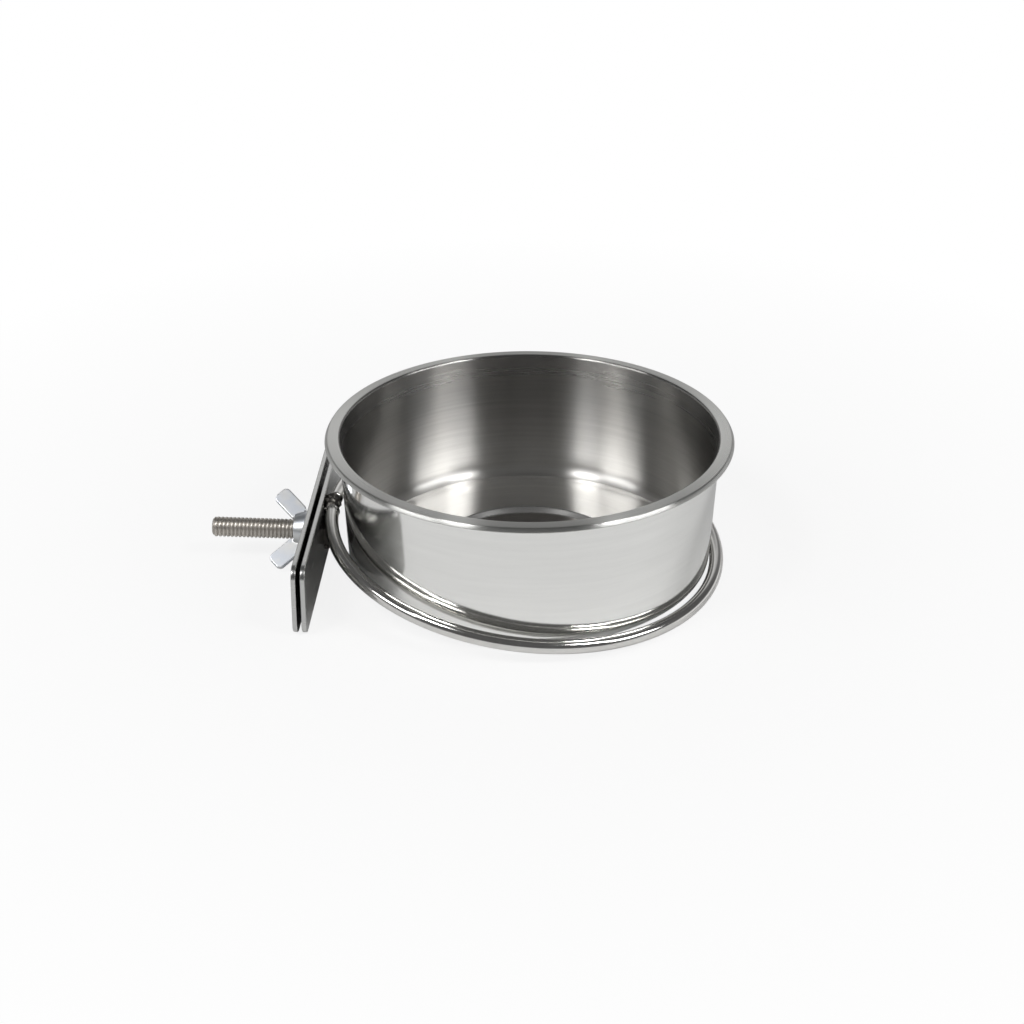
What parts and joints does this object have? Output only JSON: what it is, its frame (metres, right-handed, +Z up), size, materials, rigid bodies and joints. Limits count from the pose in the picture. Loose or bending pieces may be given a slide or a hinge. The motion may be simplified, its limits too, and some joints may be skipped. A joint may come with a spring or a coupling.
{
  "type": "seed cup",
  "caption": "Round steel feeding cup with a flat lip, standing in a wire ring holder whose plate clamp is tightened on cage bars by a wing nut on a threaded bolt.",
  "frame": {"origin": "centre of the cup's foot disc, on the table", "axes": "+Z up along the cup's axis; the clamp and its bolt are on the -X side; the picture looks along +Y"},
  "size_m": [0.1646, 0.1274, 0.0457],
  "materials": {
    "cup_steel": "brushed round the inside, polished outside",
    "ring_wire": "polished plating",
    "weld_metal": "rough and dark",
    "plate_steel": "polished plating",
    "bolt_steel": "bright rolled thread",
    "nut_zinc": "satin zinc plating"
  },
  "bodies": {
    "holder": {"wire_ring": "ring_wire", "ring_weld": "weld_metal", "fixed_plate": "plate_steel", "bolt": "bolt_steel", "bolt_weld": "weld_metal"},
    "cup": {"cup": "cup_steel"},
    "outer_jaw": {"loose_plate": "plate_steel"},
    "nut": {"wing_nut": "nut_zinc"}
  },
  "joints": [
    {"name": "cup_lift", "type": "slide", "parent": "holder", "child": "cup", "axis": [0, 0, 1], "range_m": [0, 0.05]},
    {"name": "jaw_slide", "type": "slide", "parent": "holder", "child": "outer_jaw", "axis": [-0.9991, 0.0401, 0.0157], "range_m": [-0.00128, 0.02286]},
    {"name": "nut_turn", "type": "hinge", "parent": "outer_jaw", "child": "nut", "pos_m": [-0.06485, 0.0007, 0.0101], "axis": [-0.9991, 0.0401, 0.0157], "range_deg": [-360, 6480]}
  ],
  "couplings": [
    {"joint": "jaw_slide", "follows": "nut_turn", "m_per_rad": 0.00020213}
  ]
}
